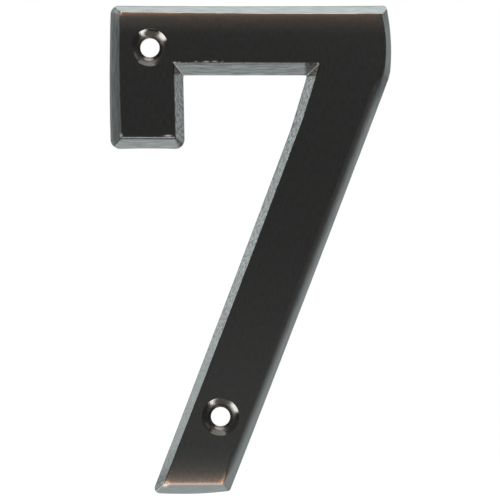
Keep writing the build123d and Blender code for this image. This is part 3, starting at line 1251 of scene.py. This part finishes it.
class NodeSheet:
    """Adds nodes to one node tree and joins them."""

    def __init__(self, tree: bpy.types.NodeTree) -> None:
        """Takes the tree to work on."""
        self.tree = tree

    def feed(self, socket: bpy.types.NodeSocket, value: Feed) -> None:
        """Links a socket into an input, or sets a plain value on it.

        Args:
            socket: The input.
            value: The source or the value.
        """
        if isinstance(value, bpy.types.NodeSocket):
            self.tree.links.new(value, socket)
        else:
            socket.default_value = value

    def add(self, kind: str, inputs: dict[str | int, Feed] | None = None,
            **settings: object) -> bpy.types.Node:
        """Adds a node.

        Args:
            kind: Blender's name of the node's type.
            inputs: Value or source of each named or numbered input.
            settings: The node's own settings.

        Returns:
            The new node.
        """
        node = self.tree.nodes.new(kind)
        for name, value in settings.items():
            setattr(node, name, value)
        for name, value in (inputs or {}).items():
            self.feed(node.inputs[name], value)
        return node

    def math(self, operation: str, first: Feed, second: Feed = 0.0,
             clamp: bool = False) -> bpy.types.NodeSocket:
        """Adds a Math node and gives its result."""
        node = self.add("ShaderNodeMath", {0: first, 1: second}, operation=operation, use_clamp=clamp)
        return node.outputs[0]

    def ease(self, value: Feed, low: float, high: float, to_low: float,
             to_high: float) -> bpy.types.NodeSocket:
        """Adds a Map Range node that eases a value from one range into another, and gives its result."""
        inputs = {"Value": value, "From Min": low, "From Max": high, "To Min": to_low, "To Max": to_high}
        return self.add("ShaderNodeMapRange", inputs, interpolation_type="SMOOTHSTEP").outputs["Result"]

    def blend(self, factor: Feed, first: Feed, second: Feed) -> bpy.types.NodeSocket:
        """Adds a colour Mix node.

        Args:
            factor: Share of the second colour.
            first: The first colour.
            second: The second colour.

        Returns:
            The mixed colour.
        """
        inputs = {"Factor": factor, "A": first, "B": second}
        return self.add("ShaderNodeMix", inputs, data_type="RGBA").outputs["Result"]

    def scaled(self, vector: Feed, x: float, y: float, z: float) -> bpy.types.NodeSocket:
        """Adds a Mapping node that scales a place, and gives its result."""
        return self.add("ShaderNodeMapping", {"Vector": vector, "Scale": (x, y, z)}).outputs["Vector"]

    def noise(self, vector: Feed, detail: float = 2.0) -> bpy.types.NodeSocket:
        """Adds a Noise Texture at scale 1 and gives its value, about 0.5 on average."""
        return self.add("ShaderNodeTexNoise", {"Vector": vector, "Scale": 1.0, "Detail": detail}).outputs[0]

    def attribute(self, name: str) -> bpy.types.NodeSocket:
        """Adds an Attribute node and gives the attribute's value."""
        return self.add("ShaderNodeAttribute", attribute_name=name).outputs["Fac"]


def opaque(colour: Colour) -> tuple[float, float, float, float]:
    """Adds full opacity to a colour."""
    return (*colour, 1.0)


class NodeGroups:
    """Node groups that more than one finish uses, made when they are first asked for."""

    WEAR_AND_SHEEN = "worn_bronze"
    STREAKS = "long_streaks"
    UNEVEN_GLOSS = 0.06
    STREAK_DETAIL = 3.0

    @staticmethod
    def _new(name: str, inputs: dict[str, str], outputs: dict[str, str]) -> bpy.types.NodeTree:
        """Makes an empty group with named sockets.

        Args:
            name: Name of the group.
            inputs: Socket type of each input.
            outputs: Socket type of each output.

        Returns:
            The new group.
        """
        group = bpy.data.node_groups.new(name, "ShaderNodeTree")
        for socket, kind in inputs.items():
            group.interface.new_socket(name=socket, in_out="INPUT", socket_type=kind)
        for socket, kind in outputs.items():
            group.interface.new_socket(name=socket, in_out="OUTPUT", socket_type=kind)
        return group

    @classmethod
    def wear_and_sheen(cls) -> bpy.types.NodeTree:
        """Gives the group that shows copper through the dark bronze and lays the painted highlights over
        both.

        Returns:
            A group from three colours, their masks, a grain and its contrast to a colour and a roughness.
        """
        if cls.WEAR_AND_SHEEN in bpy.data.node_groups:
            return bpy.data.node_groups[cls.WEAR_AND_SHEEN]
        inputs = {"Dark": "NodeSocketColor", "Copper": "NodeSocketColor", "Bright": "NodeSocketColor",
                  "Rub": "NodeSocketFloat", "Highlight": "NodeSocketFloat", "Grain": "NodeSocketFloat",
                  "Contrast": "NodeSocketFloat", "Roughness": "NodeSocketFloat"}
        group = cls._new(cls.WEAR_AND_SHEEN, inputs, {"Colour": "NodeSocketColor", "Roughness": "NodeSocketFloat"})
        sheet = NodeSheet(group)
        given = sheet.add("NodeGroupInput").outputs
        off_mean = sheet.math("SUBTRACT", given["Grain"], MEAN_GRAIN)
        swing = sheet.math("MULTIPLY", off_mean, given["Contrast"])
        lift = sheet.math("ADD", swing, 1.0)
        shown = sheet.math("MULTIPLY", given["Rub"], lift, clamp=True)
        shade = sheet.add("ShaderNodeVectorMath", {0: given["Dark"], "Scale": lift}, operation="SCALE")
        rubbed = sheet.blend(shown, shade.outputs[0], given["Copper"])
        uneven = sheet.math("MULTIPLY", swing, cls.UNEVEN_GLOSS)
        sheet.add("NodeGroupOutput", {
            "Colour": sheet.blend(given["Highlight"], rubbed, given["Bright"]),
            "Roughness": sheet.math("ADD", given["Roughness"], uneven)})
        return group

    @classmethod
    def streaks(cls) -> bpy.types.NodeTree:
        """Gives the group of long fine streaks: noise stretched along one way and tight across it.

        Returns:
            A group from a place and its scales to a grain value.
        """
        if cls.STREAKS in bpy.data.node_groups:
            return bpy.data.node_groups[cls.STREAKS]
        inputs = {"Place": "NodeSocketVector", "Scale": "NodeSocketVector"}
        group = cls._new(cls.STREAKS, inputs, {"Grain": "NodeSocketFloat"})
        sheet = NodeSheet(group)
        given = sheet.add("NodeGroupInput").outputs
        place = sheet.add("ShaderNodeVectorMath", {0: given["Place"], 1: given["Scale"]},
                          operation="MULTIPLY")
        sheet.add("NodeGroupOutput", {"Grain": sheet.noise(place.outputs[0], cls.STREAK_DETAIL)})
        return group


@dataclass(frozen=True)
class BronzeFinish:
    """The dark bronze and what the finishes of its regions share.

    Attributes:
        name: Name of the material.
        dark: Colour of the bronzed metal.
        cast: Colour of the painted shade in the bevels' inner corners.
        copper: Colour of the copper where it is rubbed through.
        bright: Colour of the metal where it is scuffed bright.
        roughness: Gloss of the surface, 0 for a mirror.
        dullness: How much rougher it is where it is scuffed.
        relief: Height of the marks that the bump shows, in metres.
        contrast: How far the marks lighten and darken the colour.
        grain_scale: How tight the marks are along each axis of the place that they follow.
        follows_surface: Whether that place is along and across the surface, not the object's own axes.
    """

    name: str = "dark_bronze"
    dark: Colour = (0.172, 0.188, 0.188)
    # Colour of the painted shade in the inner corners.
    cast: Colour = (0.04, 0.04, 0.036)
    copper: Colour = (0.72, 0.43, 0.27)
    # Colour of the painted highlights and painted reflections.
    bright: Colour = (0.8, 0.76, 0.7)
    roughness: float = 0.2
    dullness: float = 0.3
    relief: float = 0.000004
    contrast: float = 0.4
    grain_scale: Scale = (1500.0, 1500.0, 1500.0)
    follows_surface: bool = False

    def place(self, sheet: NodeSheet) -> bpy.types.NodeSocket:
        """Gives the place that the marks follow.

        Args:
            sheet: The material's nodes.

        Returns:
            The surface coordinates or the object's own coordinates.
        """
        if self.follows_surface:
            return sheet.add("ShaderNodeUVMap", uv_map=SURFACE).outputs["UV"]
        return sheet.add("ShaderNodeTexCoord").outputs["Object"]

    def grain(self, sheet: NodeSheet, place: bpy.types.NodeSocket) -> bpy.types.NodeSocket:
        """Gives the marks of the surface as a value of about 0.5 on average."""
        return self.streaks(sheet, place, self.grain_scale)

    def ground(self, sheet: NodeSheet) -> Feed:
        """Gives the colour under the copper: dark bronze, and darker as painted shade in the inner corners.
        """
        return sheet.blend(sheet.attribute(CORNER_SHADE_AND_DULL_BORE), opaque(self.dark), opaque(self.cast))

    def dull(self, sheet: NodeSheet) -> bpy.types.NodeSocket:
        """Gives where the surface is duller: where the highlights are painted."""
        return sheet.attribute(HIGHLIGHT)

    def streaks(self, sheet: NodeSheet, place: bpy.types.NodeSocket, scale: Scale) -> bpy.types.NodeSocket:
        """Adds the group of streaks.

        Args:
            sheet: The material's nodes.
            place: The place that the streaks follow.
            scale: How tight they are along each of its axes.

        Returns:
            The grain.
        """
        inputs = {"Place": place, "Scale": scale}
        return sheet.add("ShaderNodeGroup", inputs, node_tree=NodeGroups.streaks()).outputs["Grain"]

    def material(self) -> bpy.types.Material:
        """Makes the material: dark bronze with copper rubbed through, painted highlights and the region's own
        marks.

        Returns:
            The new material.
        """
        material = empty_material(self.name)
        sheet = NodeSheet(material.node_tree)
        grain = self.grain(sheet, self.place(sheet))
        added_roughness = sheet.math("MULTIPLY", self.dull(sheet), self.dullness)
        wear_and_sheen = sheet.add("ShaderNodeGroup", {
            "Dark": self.ground(sheet), "Copper": opaque(self.copper), "Bright": opaque(self.bright),
            "Rub": sheet.attribute(RUB), "Highlight": sheet.attribute(HIGHLIGHT), "Grain": grain,
            "Contrast": self.contrast, "Roughness": sheet.math("ADD", added_roughness, self.roughness),
        }, node_tree=NodeGroups.wear_and_sheen())
        bump = sheet.add("ShaderNodeBump", {"Height": grain, "Distance": self.relief, "Strength": 1.0})
        shader = sheet.add("ShaderNodeBsdfPrincipled", {
            "Base Color": wear_and_sheen.outputs["Colour"], "Roughness": wear_and_sheen.outputs["Roughness"],
            "Metallic": 1.0, "Normal": bump.outputs["Normal"]})
        sheet.add("ShaderNodeOutputMaterial", {"Surface": shader.outputs["BSDF"]})
        return material


@dataclass(frozen=True)
class BrushedFace(BronzeFinish):
    """The face: brushed up and down in fine lines, tight across and long up and down."""

    name: str = "brushed_face"
    dark: Colour = (0.178, 0.181, 0.174)
    roughness: float = 0.13
    relief: float = 0.0000002
    contrast: float = 0.5
    grain_scale: Scale = (2600.0, 1.0, 700.0)


@dataclass(frozen=True)
class GroundBevel(BronzeFinish):
    """The bevels: filed by hand along the edge, coarser where the attribute says so.

    Attributes:
        mark_mean: Mean of the noise that makes the marks.
        long_marks: How tight the long file marks are along and across the edge.
        short_marks: The same for the short cross marks.
        speck_scale: How tight the specks in the painted corner shade are.
        speck_range: Values of their noise between which a speck grows.
        speck_cover: Share of the painted corner shade that a speck leaves.
    """

    name: str = "ground_bevel"
    roughness: float = 0.22
    relief: float = 0.00003
    contrast: float = 1.6
    follows_surface: bool = True
    mark_mean: float = 0.47
    long_marks: Scale = (280.0, 2600.0, 1.0)
    short_marks: Scale = (1500.0, 1900.0, 1.0)
    speck_scale: float = 3600.0
    speck_range: tuple[float, float] = (0.48, 0.64)
    speck_cover: float = 0.45

    def ground(self, sheet: NodeSheet) -> Feed:
        """Gives dark bronze, and in the inner corners painted shade with specks of bronze in it.

        Args:
            sheet: The material's nodes.

        Returns:
            The colour.
        """
        spots = sheet.noise(sheet.scaled(self.place(sheet), self.speck_scale, self.speck_scale, 1.0))
        cover = sheet.ease(spots, *self.speck_range, 1.0, self.speck_cover)
        shade_share = sheet.math("MULTIPLY", sheet.attribute(CORNER_SHADE_AND_DULL_BORE), cover)
        return sheet.blend(shade_share, opaque(self.dark), opaque(self.cast))

    def grain(self, sheet: NodeSheet, place: bpy.types.NodeSocket) -> bpy.types.NodeSocket:
        """Gives long and short file marks, each as strong as its attribute says.

        Args:
            sheet: The material's nodes.
            place: The place along and across the bevel.

        Returns:
            The marks as a value of about 0.5 on average.
        """
        marks = MEAN_GRAIN
        for scale, strength in ((self.long_marks, FILED), (self.short_marks, HATCHED)):
            swing = sheet.math("SUBTRACT", self.streaks(sheet, place, scale), self.mark_mean)
            marks = sheet.math("ADD", marks, sheet.math("MULTIPLY", swing, sheet.attribute(strength)))
        return marks


@dataclass(frozen=True)
class TurnedSeat(BronzeFinish):
    """The countersinks and bores: turned, so the marks are long round the hole and tight down the seat."""

    name: str = "turned_seat"
    dark: Colour = (0.15, 0.147, 0.14)
    copper: Colour = (0.39, 0.385, 0.37)
    roughness: float = 0.06
    dullness: float = 0.5
    relief: float = 0.000001
    grain_scale: Scale = (120.0, 4000.0, 1.0)
    follows_surface: bool = True

    def ground(self, sheet: NodeSheet) -> Feed:
        """Gives the colour of the cut metal, which is the same all over."""
        return opaque(self.dark)

    def dull(self, sheet: NodeSheet) -> bpy.types.NodeSocket:
        """Gives where the seat is duller: on the painted reflections and down by the bore."""
        return sheet.math("MAXIMUM", sheet.attribute(CORNER_SHADE_AND_DULL_BORE), sheet.attribute(HIGHLIGHT))


@dataclass(frozen=True)
class PlainBack(BronzeFinish):
    """The walls and the back: bronzed as they were cast, with the even grain of the mould's sand."""

    name: str = "cast_back"
    roughness: float = 0.38
    relief: float = 0.00002


@dataclass(frozen=True)
class SoftBox:
    """A soft lamp that looks at the numeral. Lengths in metres.

    Attributes:
        name: Name of the lamp.
        place: Middle of the lamp.
        width: Its width.
        height: Its height.
        brightness: How bright its surface looks, where 1 is white.
    """

    name: str
    place: tuple[float, float, float]
    width: float
    height: float
    brightness: float

    def build(self) -> bpy.types.Object:
        """Makes the lamp, facing the numeral and unseen by the camera.

        Returns:
            The new lamp.
        """
        lamp = bpy.data.lights.new(self.name, "AREA")
        lamp.shape = "RECTANGLE"
        lamp.size = self.width
        lamp.size_y = self.height
        lamp.energy = self.brightness * math.pi * self.width * self.height
        holder = placed(self.name, lamp)
        holder.location = self.place
        holder.rotation_euler = (-Vector(self.place)).to_track_quat("-Z", "Y").to_euler()
        holder.visible_camera = False
        return holder


@dataclass(frozen=True)
class SideGain:
    """How much brighter the bowl is towards one side. Below 1 it is darker.

    Attributes:
        amount: The gain at that side.
        low: Part of a direction, towards that side, at which the gain starts.
        high: Part at which it is full.
    """

    amount: float
    low: float
    high: float

    def at(self, part: np.ndarray) -> np.ndarray:
        """Gives the gain for each direction's part towards the side, eased from 1."""
        return 1.0 + (self.amount - 1.0) * smooth(limited((part - self.low) / (self.high - self.low)))


@dataclass
class Studio:
    """The plain studio: white surroundings, pale floor, soft lamps and a dark bowl before the face.

    Attributes:
        floor_gap: Distance from the numeral's foot down to the floor.
        floor_half_width: Half of the floor's width.
        floor_front: How far the floor reaches before the numeral's back.
        floor_back: How far it reaches behind it.
        floor_tone: Its colour.
        floor_shade: Its colour where it is a little darker.
        floor_grain: How tight that change of colour is.
        floor_lift: How much it is lightened where it is seen.
        surround: Strength of the light from the white surroundings.
        dome_radius: Radius of the dark bowl before the face, with the camera inside it.
        dome_reach: How far the bowl reaches from the line of sight, in degrees.
        dome_rows: Rows of points from the bowl's middle to its rim.
        dome_columns: Points in each row.
        dome_tones: Brightness of the bowl at angles from the line of sight.
        lower_gain: Gain below the line of sight.
        floor_gain: Further gain straight below.
        right_gain: Gain at the right.
        left_gain: Gain at the left, where it is darker.
        patch: Brightness of a patch close to the line of sight, over the height above that line.
        patch_width: Half width of that patch, which the face mirrors.
        lamps: The soft lamps.
    """

    floor_gap: float = 0.012
    floor_half_width: float = 0.5
    floor_front: float = 0.22
    floor_back: float = 0.6
    floor_tone: Colour = (0.8, 0.8, 0.79)
    floor_shade: Colour = (0.78, 0.78, 0.78)
    floor_grain: float = 40.0
    floor_lift: float = 0.4
    surround: float = 0.65
    dome_radius: float = 2.0
    dome_reach: float = 125.0
    dome_rows: int = 90
    dome_columns: int = 96
    dome_tones: Ramp = (
        (0.0, 0.07), (6.6, 0.1), (21.4, 0.15), (36.6, 0.24), (52.6, 0.41), (69.6, 0.6), (77.0, 0.75),
        (90.0, 0.82))
    lower_gain: SideGain = SideGain(1.4, 0.008, 0.03)
    floor_gain: SideGain = SideGain(1.6, 0.5, 0.95)
    right_gain: SideGain = SideGain(1.55, 0.15, 0.6)
    left_gain: SideGain = SideGain(0.65, 0.3, 0.8)
    patch: Ramp = (
        (-0.7, 0.0), (-0.5, 0.2), (-0.35, 0.36), (-0.25, 0.42), (-0.2, 0.32), (-0.15, 0.16), (-0.1, 0.1),
        (-0.06, 0.1), (-0.03, 0.12), (-0.008, 0.0), (0.05, 0.0), (0.08, 0.014), (0.1, 0.038), (0.12, 0.035),
        (0.3, 0.0))
    patch_width: float = 0.1
    lamps: tuple[SoftBox, ...] = (
        SoftBox("overhead_box", (0.0, -0.18, 0.78), 0.9, 0.5, 2.2),
        SoftBox("upper_left_box", (-0.728, -0.18, 0.305), 0.4, 0.3, 1.65),
        SoftBox("upper_spot", (-0.145, -1.35, 0.36), 0.16, 0.14, 8.0),
        SoftBox("right_spot", (0.31, -1.35, 0.233), 0.2, 0.2, 7.0),
        SoftBox("lower_spot", (-0.054, -1.35, -0.384), 0.34, 0.14, 2.4),
    )

    @staticmethod
    def seen_directly(sheet: NodeSheet) -> bpy.types.NodeSocket:
        """Gives 1 for what the camera, a reflection or a clear material shows, else 0.

        Args:
            sheet: The nodes to add it to.

        Returns:
            The value.
        """
        path = sheet.add("ShaderNodeLightPath").outputs
        shown = sheet.math("MAXIMUM", path["Is Camera Ray"], path["Is Glossy Ray"])
        return sheet.math("MAXIMUM", shown, path["Is Transmission Ray"])

    def surroundings(self) -> None:
        """Makes the world white wherever it is seen, and an even soft light elsewhere."""
        world = bpy.data.worlds.new("white_surroundings")
        bpy.context.scene.world = world
        world.use_nodes = True
        world.node_tree.nodes.clear()
        sheet = NodeSheet(world.node_tree)
        strength = sheet.ease(self.seen_directly(sheet), 0.0, 1.0, self.surround, 1.0)
        light = sheet.add("ShaderNodeBackground", {"Color": opaque(WHITE), "Strength": strength})
        sheet.add("ShaderNodeOutputWorld", {"Surface": light.outputs[0]})

    def floor(self, foot: float) -> bpy.types.Object:
        """Makes the pale floor under the numeral, which keeps its shadow.

        Args:
            foot: Height of the numeral's foot.

        Returns:
            The floor.
        """
        x, z = self.floor_half_width, foot - self.floor_gap
        mesh = bpy.data.meshes.new("floor")
        mesh.from_pydata([
            (-x, -self.floor_front, z), (x, -self.floor_front, z), (x, self.floor_back, z),
            (-x, self.floor_back, z)], [], [(0, 1, 2, 3)])
        floor = placed("floor", mesh)
        material = empty_material("pale_floor")
        sheet = NodeSheet(material.node_tree)
        place = sheet.add("ShaderNodeTexCoord").outputs["Object"]
        grain = sheet.noise(sheet.scaled(place, self.floor_grain, self.floor_grain, 1.0))
        tone = sheet.blend(grain, opaque(self.floor_tone), opaque(self.floor_shade))
        matt = sheet.add("ShaderNodeBsdfDiffuse", {"Color": tone})
        glow = sheet.add("ShaderNodeEmission", {
            "Color": opaque(WHITE),
            "Strength": sheet.math("MULTIPLY", self.seen_directly(sheet), self.floor_lift)})
        both = sheet.add("ShaderNodeAddShader", {0: matt.outputs[0], 1: glow.outputs[0]})
        sheet.add("ShaderNodeOutputMaterial", {"Surface": both.outputs[0]})
        mesh.materials.append(material)
        floor.visible_glossy = False
        return floor

    @staticmethod
    def reflected_only(card: bpy.types.Object) -> None:
        """Leaves a card to be seen in reflections alone, so that it takes no light from the numeral.

        Args:
            card: The card.
        """
        card.visible_camera = False
        card.visible_diffuse = False
        card.visible_shadow = False
        card.visible_transmission = False

    def dome_tone(self, away: np.ndarray, way: np.ndarray) -> np.ndarray:
        """Gives the bowl's brightness: a ramp over the angle, times an eased gain for each side, and a patch.

        The patch is a ramp over the height above the line of sight, times a bell curve across it.

        Args:
            away: Angle of each point from the line of sight, in degrees.
            way: Direction of each point from the numeral.

        Returns:
            The brightness at each point.
        """
        x, z = way[..., 0], way[..., 2]
        below = self.lower_gain.at(-z) * self.floor_gain.at(-z)
        beside = np.maximum(below, self.right_gain.at(x)) * self.left_gain.at(-x)
        patch = ramp(self.patch, z) * bell(x / self.patch_width)
        return ramp(self.dome_tones, away) * beside + patch

    def dark_dome(self) -> bpy.types.Object:
        """Makes the bowl that the face mirrors: darkest straight ahead, fading into the white round it.

        The bowl is a part of a sphere about the numeral: a point turns round the line of sight by one
        parameter and away from that line by the square of the other.

        Returns:
            The bowl.
        """
        away = np.linspace(0.0, 1.0, self.dome_rows)[:, None] ** 2 * self.dome_reach
        turn = np.linspace(0.0, 2 * np.pi, self.dome_columns, endpoint=False)[None, :]
        tilt = np.radians(away)
        way = np.stack(np.broadcast_arrays(
            np.sin(tilt) * np.cos(turn), -np.cos(tilt), np.sin(tilt) * np.sin(turn)), axis=-1)
        points = (way * self.dome_radius).reshape(-1, 3)
        faces = grid_quads(self.dome_rows, self.dome_columns).reshape(-1, 4)
        mesh = bpy.data.meshes.new("dark_dome")
        mesh.from_pydata(points.tolist(), [], faces.tolist())
        tone = mesh.attributes.new(TONE, "FLOAT", "POINT")
        tone.data.foreach_set("value", self.dome_tone(away, way).astype(np.float32).ravel())
        dome = placed("dark_dome", mesh)
        material = empty_material("dark_dome")
        material.cycles.emission_sampling = "NONE"
        sheet = NodeSheet(material.node_tree)
        glow = sheet.add("ShaderNodeEmission", {"Color": opaque(WHITE), "Strength": sheet.attribute(TONE)})
        sheet.add("ShaderNodeOutputMaterial", {"Surface": glow.outputs[0]})
        mesh.materials.append(material)
        self.reflected_only(dome)
        return dome

    def build(self, foot: float) -> None:
        """Sets up the whole studio round the numeral.

        Args:
            foot: Height of the numeral's foot.
        """
        self.surroundings()
        self.floor(foot)
        self.dark_dome()
        for lamp in self.lamps:
            lamp.build()


@dataclass
class FrontCamera:
    """The camera straight before the numeral. Lengths in metres.

    Attributes:
        distance: From the camera to the back of the numeral.
        in_focus: Height above the back at which the frame's width is measured.
        frame_width: Width of the square frame there.
        shift: How far the camera stands to the side and up.
        sensor: Width of its sensor, in millimetres.
        sees_to: Distance beyond which it sees nothing.
    """

    distance: float = 1.5
    in_focus: float = 0.0042
    frame_width: float = 0.104
    shift: tuple[float, float] = (-0.00007, -0.00003)
    sensor: float = 36.0
    sees_to: float = 20.0

    def build(self) -> None:
        """Makes the camera and hands it to the scene."""
        camera = bpy.data.cameras.new("front_camera")
        camera.sensor_width = self.sensor
        camera.sensor_fit = "HORIZONTAL"
        camera.lens = self.sensor * (self.distance - self.in_focus) / self.frame_width
        camera.clip_end = self.sees_to
        holder = placed("front_camera", camera)
        holder.location = (self.shift[0], -self.distance, self.shift[1])
        holder.rotation_euler = (math.pi / 2, 0.0, 0.0)
        bpy.context.scene.camera = holder


def main() -> None:
    """Builds and dresses the numeral, then sets it in the studio before its camera."""
    logging.basicConfig(level=logging.INFO, format="%(message)s")
    bpy.context.scene.view_settings.view_transform = "Standard"
    casting = Casting()
    piece = casting.build()
    casting.dress(piece)
    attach(piece, "root")
    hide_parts("house_number")
    log.info("%s: %d points, %d faces", piece.name, len(piece.data.vertices), len(piece.data.polygons))
    Studio().build(CAD_BOX[0].z)
    FrontCamera().build()


if __name__ == "__main__":
    main()
